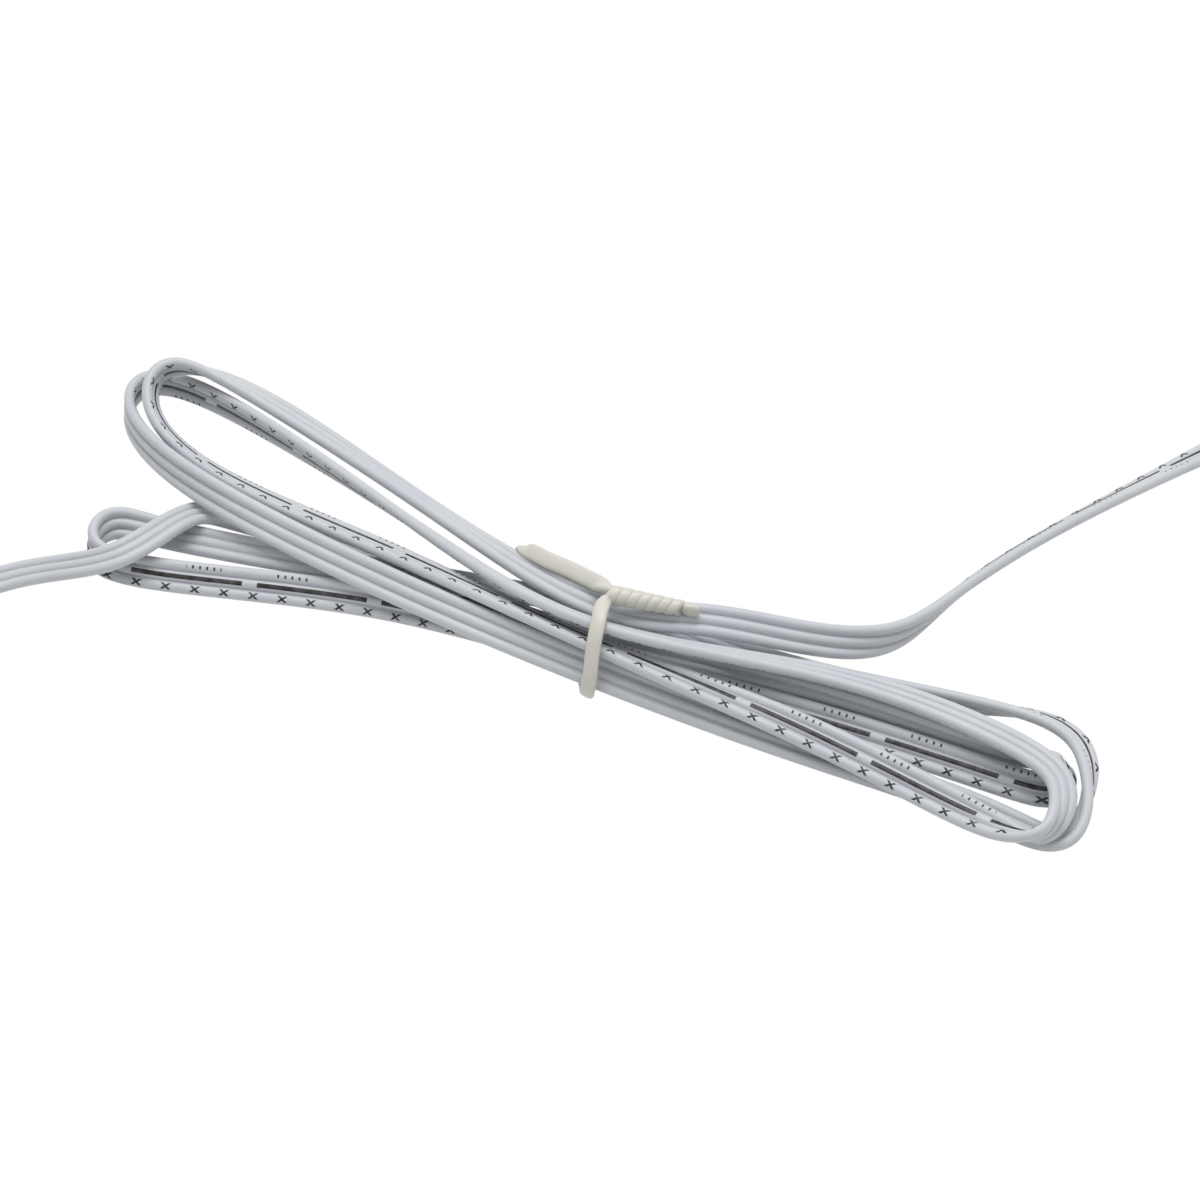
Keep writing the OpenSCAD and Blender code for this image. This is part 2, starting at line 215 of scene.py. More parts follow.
def through(rows: Array, steps: int) -> Array:
    """A Catmull-Rom curve through rows of values: each span's cubic has slopes (next - last) / 2.

    Args:
        rows: Values to pass through (n, k).
        steps: Points a span.

    Returns:
        The curve's rows, with both ends kept.
    """
    p = np.vstack([2 * rows[0] - rows[1], rows, 2 * rows[-1] - rows[-2]])
    f = (np.arange(steps) / steps)[None, :, None]
    a, b, c, d = (p[k : len(p) - 3 + k, None] for k in range(4))
    square, cube = 2 * a - 5 * b + 4 * c - d, 3 * b - a - 3 * c + d
    curve = b + (f * (c - a) + f**2 * square + f**3 * cube) / 2
    return np.vstack([curve.reshape(-1, rows.shape[1]), rows[-1:]])


# ---------------------------------------------------------------------------------------
# Finishes
# ---------------------------------------------------------------------------------------


class Shader:
    """A material's node tree, with short ways to add and join its nodes."""

    def __init__(self, name: str) -> None:
        """Makes an empty material with a Principled shader.

        Args:
            name: The material's name.
        """
        self.material = bpy.data.materials.new(name)
        self.material.use_nodes = True
        self.tree = self.material.node_tree
        self.surface = self.tree.nodes["Principled BSDF"]

    def node(self, kind: str, **settings: object) -> bpy.types.Node:
        """Adds a node and sets its properties.

        Args:
            kind: The node's type, without its ShaderNode prefix.
            settings: Property names and values.

        Returns:
            The node.
        """
        made = self.tree.nodes.new("ShaderNode" + kind)
        for key, value in settings.items():
            setattr(made, key, value)
        return made

    def join(self, out: bpy.types.NodeSocket, into: bpy.types.NodeSocket) -> None:
        """Links two sockets."""
        self.tree.links.new(out, into)

    def feed(self, socket: bpy.types.NodeSocket, value: object) -> None:
        """Links value to a socket if it is a socket, and sets it otherwise."""
        if isinstance(value, bpy.types.NodeSocket):
            self.join(value, socket)
        else:
            socket.default_value = value

    def math(self, operation: str, *values: object, clamp: bool = False) -> bpy.types.NodeSocket:
        """A Math node's result.

        Args:
            operation: The Math node's operation.
            values: Numbers or sockets for its inputs.
            clamp: Whether the result is kept from 0 to 1.

        Returns:
            Its output.
        """
        made = self.node("Math", operation=operation, use_clamp=clamp)
        for socket, value in zip(made.inputs, values):
            self.feed(socket, value)
        return made.outputs[0]

    def within(self, value: object, half: float, soft: float) -> bpy.types.NodeSocket:
        """1 where value is under half and 0 where it is over, with a fall between that is soft wide."""
        over = self.math("SUBTRACT", half + soft / 2, value)
        return self.math("DIVIDE", over, soft, clamp=True)

    def wrapped(self, value: object, pitch: float) -> bpy.types.NodeSocket:
        """Value brought back to 0 to pitch."""
        return self.math("WRAP", value, pitch, 0.0)

    def off(self, value: object, middle: float) -> bpy.types.NodeSocket:
        """How far value is from middle, either way."""
        return self.math("ABSOLUTE", self.math("SUBTRACT", value, middle))

    def noise(
        self, where: bpy.types.NodeSocket, scale: float, detail: float = 2.0
    ) -> bpy.types.NodeSocket:
        """A noise pattern's value."""
        made = self.node("TexNoise")
        self.join(where, made.inputs["Vector"])
        made.inputs["Scale"].default_value = scale
        made.inputs["Detail"].default_value = detail
        return made.outputs["Fac"]

    def blend(self, share: object, a: object, b: object) -> bpy.types.NodeSocket:
        """A colour between a and b."""
        made = self.node("Mix", data_type="RGBA")
        self.feed(made.inputs["Factor"], share)
        self.feed(made.inputs["A"], a)
        self.feed(made.inputs["B"], b)
        return made.outputs["Result"]

    def span(self, value: object, low: float, high: float) -> bpy.types.NodeSocket:
        """Value from 0 to 1 carried to low to high."""
        made = self.node("MapRange")
        self.feed(made.inputs["Value"], value)
        made.inputs["To Min"].default_value = low
        made.inputs["To Max"].default_value = high
        return made.outputs["Result"]

    def bump(self, height: bpy.types.NodeSocket, depth: float) -> None:
        """Raises the surface by height times depth, in metres."""
        made = self.node("Bump")
        made.inputs["Distance"].default_value = depth
        self.join(height, made.inputs["Height"])
        self.join(made.outputs["Normal"], self.surface.inputs["Normal"])

    def set(self, **values: object) -> None:
        """Sets the Principled shader's own sockets; underscores stand for spaces."""
        for key, value in values.items():
            self.surface.inputs[key.replace("_", " ")].default_value = value


def colour(r: float, g: float, b: float) -> Colour:
    """A colour written as screen values from 0 to 255, as the linear values shaders take."""
    def linear(c: float) -> float:
        """One channel: c / 12.92 where dark, and ((c + 0.055) / 1.055) ^ 2.4 elsewhere."""
        c /= 255
        return c / 12.92 if c <= 0.04045 else ((c + 0.055) / 1.055) ** 2.4

    return (linear(r), linear(g), linear(b), 1.0)


@dataclass(frozen=True)
class CableJacket:
    """White PVC with dark marks printed along one face.

    The printed face's UV runs in metres: u along the cord, and v across it from its middle.
    The plain face's v is moved aside, so no mark lands there. The edge values say over how many
    mm a mark's borders fade: a dash's ends and sides, and a tick group's end, a tick's sides
    and its top.
    """

    white: Colour = colour(206, 208, 210)
    shade: Colour = colour(195, 198, 204)
    cloud: float = 60.0
    cloud_reach: tuple[float, float] = (-0.4, 1.4)
    rough: tuple[float, float] = (0.36, 0.5)
    rough_scale: float = 220.0
    grain: float = 700.0
    grain_depth: float = 0.000012
    ink: Colour = colour(30, 26, 25)
    ink_pale: Colour = colour(84, 77, 72)
    ink_cover: tuple[float, float] = (0.78, 1.12)
    ink_scale: float = 900.0
    dash_pitch: float = 19.5
    dash_length: float = 17.2
    dash_width: float = 0.72
    dash_edges: tuple[float, float] = (0.12, 0.05)
    hatch: tuple[float, float] = (14.0, 16.0)
    hatch_reach: tuple[float, float] = (-0.3, 0.75)
    hatch_share: float = 0.44
    hatch_edge: float = 0.1
    cross_pitch: float = 4.5
    cross_size: float = 0.98
    cross_stroke: float = 0.4
    cross_slope: float = 0.8
    cross_edge: float = 0.06
    tick_pitch: float = 1.1
    tick_group: float = 14.0
    tick_run: float = 5.5
    tick_stroke: float = 0.3
    tick_high: float = 0.5
    tick_edges: tuple[float, float, float] = (0.05, 0.06, 0.08)

    def material(self) -> bpy.types.Material:
        """The jacket's material."""
        s = Shader("cable_jacket")
        uv = s.node("UVMap", uv_map="Along")
        split = s.node("SeparateXYZ")
        s.join(uv.outputs["UV"], split.inputs[0])
        u = s.math("MULTIPLY", split.outputs["X"], 1 / MM)
        v = s.math("MULTIPLY", split.outputs["Y"], 1 / MM)
        small = s.math("MAXIMUM", self.crosses(s, u, v), self.ticks(s, u, v))
        marks = s.math("MAXIMUM", self.dashes(s, u, v), small)
        place = s.node("TexCoord").outputs["Object"]
        drift = s.span(s.noise(place, self.cloud, 3.0), *self.cloud_reach)
        body = s.blend(drift, self.white, self.shade)
        ink = s.blend(self.hatching(s, u, v), self.ink, self.ink_pale)
        cover = s.span(s.noise(place, self.ink_scale), *self.ink_cover)
        printed = s.blend(s.math("MULTIPLY", marks, cover, clamp=True), body, ink)
        s.join(printed, s.surface.inputs["Base Color"])
        s.join(s.span(s.noise(place, self.rough_scale), *self.rough), s.surface.inputs["Roughness"])
        s.bump(s.noise(place, self.grain, 3.0), self.grain_depth)
        s.set(
            Subsurface_Weight=0.12,
            Subsurface_Radius=(0.0009, 0.0009, 0.001),
            Specular_IOR_Level=0.42,
        )
        return s.material

    def dashes(self, s: Shader, u: object, v: object) -> object:
        """The middle core's long dashes: 1 inside a box of dash length by dash width."""
        ends, sides = self.dash_edges
        off = s.off(s.wrapped(u, self.dash_pitch), self.dash_pitch / 2)
        along = s.within(off, self.dash_length / 2, ends)
        return s.math("MULTIPLY", along, s.within(s.off(v, 0.0), self.dash_width / 2, sides))

    def hatching(self, s: Shader, u: object, v: object) -> object:
        """The dashes' fine slanted hatch: sin(a u + b v), kept to the middle of their width."""
        a, b = self.hatch
        wave = s.math("SINE", s.math("ADD", s.math("MULTIPLY", u, a), s.math("MULTIPLY", v, b)))
        half = self.hatch_share * self.dash_width / 2
        middle = s.within(s.off(v, 0.0), half, self.hatch_edge)
        return s.math("MULTIPLY", s.span(wave, *self.hatch_reach), middle, clamp=True)

    def crosses(self, s: Shader, u: object, v: object) -> object:
        """The far core's crosses: both diagonals, where |dv| = slope |du|, of a small box."""
        du = s.off(s.wrapped(u, self.cross_pitch), self.cross_pitch / 2)
        dv = s.off(v, CORE_PITCH)
        gap = s.off(s.math("SUBTRACT", s.math("MULTIPLY", du, self.cross_slope), dv), 0.0)
        stroke = s.within(gap, self.cross_stroke / 2, self.cross_edge)
        return s.math("MULTIPLY", stroke, s.within(dv, self.cross_size / 2, self.cross_edge))

    def ticks(self, s: Shader, u: object, v: object) -> object:
        """The near core's measuring ticks, in groups."""
        end, sides, top = self.tick_edges
        group = s.within(s.wrapped(u, self.tick_group), self.tick_run, end)
        off = s.off(s.wrapped(u, self.tick_pitch), self.tick_pitch / 2)
        stroke = s.within(off, self.tick_stroke / 2, sides)
        high = s.within(s.off(v, -CORE_PITCH), self.tick_high / 2, top)
        return s.math("MULTIPLY", group, s.math("MULTIPLY", stroke, high))


@dataclass(frozen=True)
class MouldedPlastic:
    """Plain moulded or extruded plastic with a faint grain."""

    name: str
    tone: Colour
    deep: Colour
    rough: tuple[float, float]
    grain: float = 500.0
    grain_depth: float = 0.00002
    cloud: float = 90.0
    glow: float = 0.15

    def material(self) -> bpy.types.Material:
        """The plastic's material: its tone drifts with slow noise and its gloss with fine noise."""
        s = Shader(self.name)
        place = s.node("TexCoord").outputs["Object"]
        tone = s.blend(s.noise(place, self.cloud, 3.0), self.tone, self.deep)
        s.join(tone, s.surface.inputs["Base Color"])
        s.join(s.span(s.noise(place, self.grain), *self.rough), s.surface.inputs["Roughness"])
        s.bump(s.noise(place, self.grain, 4.0), self.grain_depth)
        s.set(
            Subsurface_Weight=self.glow,
            Subsurface_Radius=(0.001, 0.001, 0.0009),
            Specular_IOR_Level=0.45,
        )
        return s.material


@dataclass(frozen=True)
class PlainMetal:
    """Drawn or plated metal with fine scratches."""

    name: str
    tone: Colour
    dull: Colour
    rough: tuple[float, float] = (0.22, 0.42)
    rough_scale: float = 1200.0
    cloud: float = 300.0
    grain: float = 2500.0
    grain_depth: float = 0.000004

    def material(self) -> bpy.types.Material:
        """The metal's material."""
        s = Shader(self.name)
        place = s.node("TexCoord").outputs["Object"]
        tone = s.blend(s.noise(place, self.cloud, 4.0), self.tone, self.dull)
        s.join(tone, s.surface.inputs["Base Color"])
        s.join(s.span(s.noise(place, self.rough_scale), *self.rough), s.surface.inputs["Roughness"])
        s.bump(s.noise(place, self.grain), self.grain_depth)
        s.set(Metallic=1.0)
        return s.material


# ---------------------------------------------------------------------------------------
# The ribbon
# ---------------------------------------------------------------------------------------


@dataclass
class Route:
    """The ribbon's whole way as one cubic B-spline of [x, y, z, roll], in mm and degrees.

    roll turns the printed face from outward of the loops (0) to up (90), inward (180) and
    down (-90).
    """

    steps_a_span: int = 200
    run_x: float = 34.0
    right_shoulder_x: float = 64.0
    left_shoulder_x: float = 72.0
    left_lead: Array = field(default_factory=lambda: np.array([
        [-107, -42.5, 3.5, -90], [-103, -42.5, 3.5, -90], [-99, -42.5, 3.5, -90],
        [-94.5, -40.5, 2, -90], [-86, -23.5, 1, -90], [-69, -21.5, 7.25, -85],
        [-68.5, -4.25, 5.35, -100], [-64, 1.5, 0.5, -80], [-39, 3.5, 1, -100],
    ]))
    right_lead: Array = field(default_factory=lambda: np.array([
        [12, 7, 9.75, -70], [22, 11, 8, -55], [31.5, 15.85, 5.1, -50],
        [38.25, 23.5, 2.25, 0], [41, 35, 2.6, 33], [45, 46.5, 2.5, 38],
        [50.5, 58.5, 2.5, 42], [57, 71, 2.5, 50], [63, 83, 2, 65],
        [68, 92.5, 1.75, 85], [77, 95.5, 2.5, 90],
        [87, 95.5, 3.5, 90], [91, 95.5, 3.5, 90], [95, 95.5, 3.5, 90],
    ]))
    waist: Array = field(default_factory=lambda: np.array([
        [-1.5, 4, -95], [-4, 5.25, 55], [9, 5, -130], [-6.25, 5.75, -135],
        [-7, 12.25, -140], [-5, 9.25, -220], [1.25, 8.75, -80],
    ]))
    run_out: Array = field(default_factory=lambda: np.array([
        [9, 2.75, 10], [-4, 2.5, 40], [8.5, 2, -60],
        [-5.75, 6.6, -115], [11.75, 5.25, -110], [0.6, 7.2, -250],
    ]))
    shoulder_out: Array = field(default_factory=lambda: np.array([
        [9, 2.75, 10], [-18.75, 1.6, 60], [21.5, 3, 75],
        [-2.5, 8.15, -150], [8.75, 7.1, -100], [4, 3.75, -235],
    ]))
    tip_out: Array = field(default_factory=lambda: np.array([
        [69, 13.5, 2.6, 25], [-79.25, -17, 2.75, 15], [73.5, 13.25, 3.25, 45],
        [-91.5, 10.1, 4, -175], [72.5, 5, 6.75, -110], [-86.75, 10, 7.5, -205],
    ]))
    tip_back: Array = field(default_factory=lambda: np.array([
        [70.5, 6, 2.1, 65], [-79.25, -9, 2.75, -35], [76, -4, 1.75, -85],
        [-93, 22.25, 3, -180], [73.5, -6.5, 5.75, -190], [-88, 20.5, 9.9, -150],
    ]))
    shoulder_back: Array = field(default_factory=lambda: np.array([
        [5.5, 2, 65], [-8, 0.75, -85], [0.5, 1, -95],
        [20.5, 2.25, -180], [-5, 3.75, -300], [25, 3, -100],
    ]))
    run_back: Array = field(default_factory=lambda: np.array([
        [4.75, 1.25, 60], [-2.25, 4.75, -75], [-2, 1, -100],
        [7.5, 6.5, -135], [0, 4, -300], [13.75, 3.25, -140],
    ]))

    def points(self) -> Array:
        """All control points: the left lead, loops that lie right and left by turns, the right lead."""
        rows = [self.left_lead]
        for k in range(len(self.tip_out)):
            side = 1 if k % 2 == 0 else -1
            run = side * self.run_x
            shoulder = self.right_shoulder_x if side > 0 else -self.left_shoulder_x
            rows.append(np.array([
                [0, *self.waist[k]],
                [run, *self.run_out[k]],
                [shoulder, *self.shoulder_out[k]],
                self.tip_out[k],
                self.tip_back[k],
                [shoulder, *self.shoulder_back[k]],
                [run, *self.run_back[k]],
            ]))
        rows += [np.array([[0, *self.waist[-1]]]), self.right_lead]
        return np.vstack(rows)

    def at(self, t: Array) -> tuple[Array, Array]:
        """The curve and its slope, from the cubic B-spline's four weights in each span.

        Args:
            t: Places in spans, from 0 to the number of spans.

        Returns:
            Values (n, 4) and slopes (n, 4).
        """
        p = self.points()
        i = np.clip(np.floor(t).astype(int), 0, len(p) - 4)
        f = t - i
        g = 1 - f
        place = np.stack([g**3, 3 * f**3 - 6 * f**2 + 4, -3 * f**3 + 3 * f**2 + 3 * f + 1, f**3], 1) / 6
        slope = np.stack([-3 * g**2, 9 * f**2 - 12 * f, -9 * f**2 + 6 * f + 3, 3 * f**2], 1) / 6
        near = p[i[:, None] + np.arange(4)]
        return np.einsum("nk,nkd->nd", place, near), np.einsum("nk,nkd->nd", slope, near)

    def stations(self, t: Array) -> Array:
        """Each ring's middle, across and face vectors (n, 3, 3), at places t in spans."""
        value, slope = self.at(t)
        travel = unit(slope[:, :3])
        left = unit(np.cross([0.0, 0.0, 1.0], travel))
        up = np.cross(travel, left)
        roll = np.radians(value[:, 3:])
        face = np.cos(roll) * left + np.sin(roll) * up
        return np.stack([value[:, :3] + HANK_PLACE, np.cross(face, travel), face], 1)

    def even(self, step: float, bend_step: float) -> Array:
        """Places along the whole route, closer together where it bends.

        Args:
            step: Distance between rings on a straight stretch.
            bend_step: Turn between rings, in degrees, in a bend.

        Returns:
            Places in spans.
        """
        spans = len(self.points()) - 3
        t = np.linspace(0, spans, spans * self.steps_a_span + 1)
        s = self.stations(t)
        length = np.linalg.norm(np.diff(s[:, 0], axis=0), axis=1)
        turn = np.degrees(np.linalg.norm(np.diff(s[:, 2], axis=0), axis=1))
        way = unit(self.at(t)[1][:, :3])
        bend = np.degrees(np.linalg.norm(np.diff(way, axis=0), axis=1))
        cost = np.concatenate([[0], np.cumsum(length / step + (turn + bend) / bend_step)])
        return np.interp(np.linspace(0, cost[-1], int(cost[-1]) + 1), cost, t)


@dataclass
class Ribbon:
    """The flat cord: three round cores side by side, joined by thin webs."""

    web: float = 0.55
    arc_points: int = 17
    ring_step: float = 2.6
    ring_turn: float = 5.0
    slip: float = 6.0
    route: Route = field(default_factory=Route)

    def outline(self) -> Array:
        """The outline: each core's circle, cut where it meets the web at sin(a) = web / core_d.

        Returns:
            Its (across, face) points, counter-clockwise from the cross-marked core's side.
        """
        a = math.asin(self.web / CORE_D)
        end = np.linspace(-math.pi + a, math.pi - a, 2 * self.arc_points + 1)
        half = np.linspace(a, math.pi - a, self.arc_points)
        other_end, other_half = end + math.pi, half + math.pi
        arcs = [(CORE_PITCH, end), (0.0, half), (-CORE_PITCH, other_end), (0.0, other_half)]
        r = CORE_D / 2
        return np.vstack([np.stack([c + r * np.cos(q), r * np.sin(q)], -1) for c, q in arcs])

    def build(self) -> tuple[bpy.types.Object, Array]:
        """The whole ribbon as one tube, printed on its face side.

        Returns:
            Its object and the points of its middle line, in metres.
        """
        stations = self.route.stations(self.route.even(self.ring_step, self.ring_turn))
        outline = self.outline()
        following = np.roll(outline, -1, axis=0)
        printed = outline[:, 1] + following[:, 1] > 0
        sides = np.stack([outline[:, 0], following[:, 0]], -1)
        sides += np.where(printed, 0.0, UNPRINTED)[:, None]
        piece = tube("ribbon", stations, outline, sides, self.slip)
        middle = stations[:, 0]
        LOG.info("ribbon: %d rings, %.1f mm long", len(middle), lengths(middle)[-1])
        return piece, middle * MM

    def ends(self) -> tuple[Array, Array]:
        """The ribbon's two ends, in metres."""
        spans = len(self.route.points()) - 3
        s = self.route.stations(np.array([0.0, float(spans)]))
        return s[0, 0] * MM, s[1, 0] * MM


# ---------------------------------------------------------------------------------------
# The twist tie
# ---------------------------------------------------------------------------------------


@dataclass
class TwistTie:
    """An ivory strip round the waist, with its two ends wound about each other."""

    width: float = 2.25
    thick: float = 1.2
    corner: float = 0.8
    sides: int = 28
    strand_w: float = 1.45
    strand_t: float = 1.15
    strand_off: float = 0.62
    strand_steps: int = 14
    pitch: float = 3.0
    turns: float = 3.5
    root: Triple = (0.8, 2.7, 12.6)
    way: Triple = (11.2, 4.0, -1.4)
    root_swell: float = 0.3
    tuck: float = 0.4
    axis: Triple = (0.0, 1.0, 6.0)
    rest_y: float = 5.0
    rest_z: float = 4.0
    rest_rise: float = 3.0
    rest_width: float = 2.5
    rest_face: Triple = (0.0, -0.5, 0.85)
    # The tail's tip: how far past the winding, width and thickness.
    tip: tuple[Triple, ...] = ((2.6, 1.3, 0.8), (2.4, 1.9, 1.15), (1.6, 2.2, 1.3), (0.8, 2.0, 1.3))
    loop: Array = field(default_factory=lambda: np.array([
        [0.9, 0, 12.9], [1.7, -2.6, 12.8], [2.3, -4.8, 11.6], [2.7, -6.5, 9.6],
        [3.2, -8, 7.4], [3.2, -8.6, 5.4], [2.8, -8.4, 3.3], [1.4, -6, 1.3],
        [-1.5, -1.8, 0.9], [-6, 2, 0.75], [-11, 6.2, 0.85], [-15, 9, 1.5],
        [-18, 11.2, 3.3], [-18.7, 11.4, 5.2], [-16.7, 10.2, 7], [-13, 8.8, 8.1],
        [-9.2, 8, 8.8], [-5.7, 7, 9.5], [-2.7, 5.7, 10.6], [-0.6, 4.2, 11.8],
    ]))

    def tail(self) -> tuple[Array, Array, Array]:
        """The tail's own unit vectors: along it, to its side and up."""
        way = unit(np.array(self.way))
        side = unit(np.cross(way, [0.0, 0.0, 1.0]))
        return way, side, np.cross(side, way)

    def strand(self, start: float, length: float) -> Array:
        """One wound end: a helix of radius strand_off about the tail's line.

        Args:
            start: Its first turn, in degrees.
            length: How far it runs along the tail.

        Returns:
            Rows of place, outward vector, width and thickness.
        """
        way, side, up = self.tail()
        s = np.linspace(0, length, int(self.strand_steps * length / self.pitch))[:, None]
        turn = np.radians(start + 360 * s / self.pitch)
        out = np.cos(turn) * side + np.sin(turn) * up
        swell = 1 + self.root_swell * (1 - s / length)
        place = np.array(self.root) + s * way + self.strand_off * swell * out
        return np.hstack([place, out, swell * [self.strand_w, self.strand_t]])

    def rows(self) -> Array:
        """All rows from the tail's tip, round the waist and back into the tail.

        The strip faces away from the bundle's axis. Where it comes up on the far side, beyond
        rest_y, it turns over rest_rise above rest_z to a wider part that lies flat on the strands.
        """
        way, side, _ = self.tail()
        length = self.pitch * self.turns
        tip = [[*(np.array(self.root) + (length + far) * way), *(-side), w, h] for far, w, h in self.tip]
        out = self.loop - np.array(self.axis)
        out[:, 0] = 0
        rest = np.clip((self.loop[:, 2:] - self.rest_z) / self.rest_rise, 0, 1)
        rest = rest * (self.loop[:, 1:2] > self.rest_y)
        face = unit((1 - rest) * unit(out) + rest * np.array(self.rest_face))
        width = self.width + rest * (self.rest_width - self.width)
        band = np.hstack([self.loop, face, width, np.full_like(width, self.thick)])
        outer, inner = self.strand(0, length), self.strand(180, length - self.tuck)
        return np.vstack([tip, outer[::-1], band, inner])

    def build(self) -> bpy.types.Object:
        """The whole tie as one tube of rounded section."""
        rows = through(self.rows(), 4)
        middle = rows[:, :3]
        way = unit(np.gradient(middle, axis=0))
        face = rows[:, 3:6]
        face = unit(face - np.sum(face * way, 1, keepdims=True) * way)
        stations = np.stack([middle + HANK_PLACE, np.cross(face, way), face], 1)
        section = ellipse(1, 1, self.sides, self.corner)
        return tube("twist_tie_strip", stations, section[None] * rows[:, None, 6:8])


# ---------------------------------------------------------------------------------------
# The connectors
# ---------------------------------------------------------------------------------------


@dataclass
class SplitEnd:
    """Where the ribbon's three cores part inside a sleeve and fan out to a housing's holes."""

    name: str
    exit: Triple
    facing: int
    way_pitch: float = 2.5
    fan_start: float = 3.0
    fan_len: float = 6.0
    fan_end: float = 12.5
    fan_points: int = 40
    core_sides: int = 28
    sleeve_wall: float = 0.6
    sleeve_fit: float = 0.08
    sleeve_points: int = 96
    sleeve_dip: float = 0.16
    sleeve_power: tuple[float, float] = (5.0, 3.2)
    sleeve_lean: float = 1.6
    # From the sleeve's mouth to its middle: how far out along the cord, and the wall's share there.
    sleeve_rings: tuple[tuple[float, float], ...] = (
        (3.0, 0.15), (2.97, 0.5), (2.85, 0.8), (2.5, 0.97), (1.5, 1.0), (0.0, 1.0),
    )

    def placed(self, local: Array) -> Array:
        """Local points turned to the end's way and moved to its exit."""
        return local * [self.facing, self.facing, 1] + np.array(self.exit)

    def core(self, c: int) -> bpy.types.Object:
        """One insulated core: y eases from the ribbon's pitch to the housing's, as 3u^2 - 2u^3."""
        x = np.linspace(0, self.fan_end, self.fan_points)
        u = np.clip((x - self.fan_start) / self.fan_len, 0, 1)
        y = c * (CORE_PITCH + (self.way_pitch - CORE_PITCH) * u * u * (3 - 2 * u))
        middle = np.stack([x, y, np.zeros_like(x)], -1)
        way = unit(np.gradient(middle, axis=0))
        up = np.broadcast_to([0.0, 0.0, 1.0], way.shape)
        across = np.cross(up, way)
        turn = np.array([self.facing, self.facing, 1])
        stations = np.stack([self.placed(middle), across * turn, up], 1)
        outline = ellipse(CORE_D, CORE_D, self.core_sides)
        return tube(f"{self.name}_core_{c + 2}_jacket", stations, outline)

    def sleeve(self) -> bpy.types.Object:
        """The shrunk sleeve, drawn in at both mouths.

        Inside it is a superellipse, with y as |cos|^(2/p) and z as |sin|^(2/q). Outside, the
        wall follows that outline and dips a little between the cores.
        """
        half = np.array(self.sleeve_rings)
        x = np.concatenate([-half[:, 0], half[-2::-1, 0]])
        wall = self.sleeve_wall * np.concatenate([half[:, 1], half[-2::-1, 1]])
        a = 2 * math.pi * np.arange(self.sleeve_points) / self.sleeve_points
        across, tall = np.cos(a), np.sin(a)
        w, h = CORE_PITCH + CORE_D / 2 + self.sleeve_fit, CORE_D / 2 + self.sleeve_fit
        p, q = self.sleeve_power
        y = np.abs(across) ** (2 / p) * np.sign(across) * w
        z = np.abs(tall) ** (2 / q) * np.sign(tall) * h
        base = np.stack([y, z], -1)
        normal = unit(np.stack([across, self.sleeve_lean * tall], -1))
        dip = 1 + self.sleeve_dip * np.cos(2 * math.pi * y / CORE_PITCH) * np.abs(tall)
        outer = base + wall[:, None, None] * normal * dip[:, None]
        rings = np.concatenate([outer, np.broadcast_to(base, outer.shape)])
        n, m = rings.shape[:2]
        places = np.broadcast_to(np.concatenate([x, x[::-1]])[:, None, None], (n, m, 1))
        local = np.concatenate([places, rings], -1).reshape(-1, 3)
        quads = grid_quads(n + 1, m) % (n * m)
        return build_mesh(f"{self.name}_shrunk_sleeve", self.placed(local), [quads])


def softened(node: str, name: str, width: float, body: Body) -> bpy.types.Object:
    """A CAD node's copy with merged vertices and rounded edges, which then stands for it.

    Args:
        node: The CAD node.
        name: The new piece's name.
        width: The rounding's width, in mm.
        body: The body it rides on.

    Returns:
        The new piece.
    """
    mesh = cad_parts[node].data.copy()
    mesh.materials.clear()
    bm = bmesh.new()
    bm.from_mesh(mesh)
    bmesh.ops.remove_doubles(bm, verts=bm.verts, dist=1e-6)
    bmesh.ops.dissolve_limit(bm, angle_limit=math.radians(1), verts=bm.verts, edges=bm.edges)
    bm.to_mesh(mesh)
    bm.free()
    mesh.polygons.foreach_set("use_smooth", np.ones(len(mesh.polygons), bool))
    piece = bpy.data.objects.new(name, mesh)
    bpy.context.scene.collection.objects.link(piece)
    rounding = piece.modifiers.new("edge_rounding", "BEVEL")
    rounding.width = width * MM
    rounding.segments = 2
    rounding.limit_method = "ANGLE"
    rounding.angle_limit = math.radians(40)
    rounding.use_clamp_overlap = True
    rounding.harden_normals = True
    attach(piece, body.value)
    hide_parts(node)
    return piece


# ---------------------------------------------------------------------------------------
# The studio
# ---------------------------------------------------------------------------------------


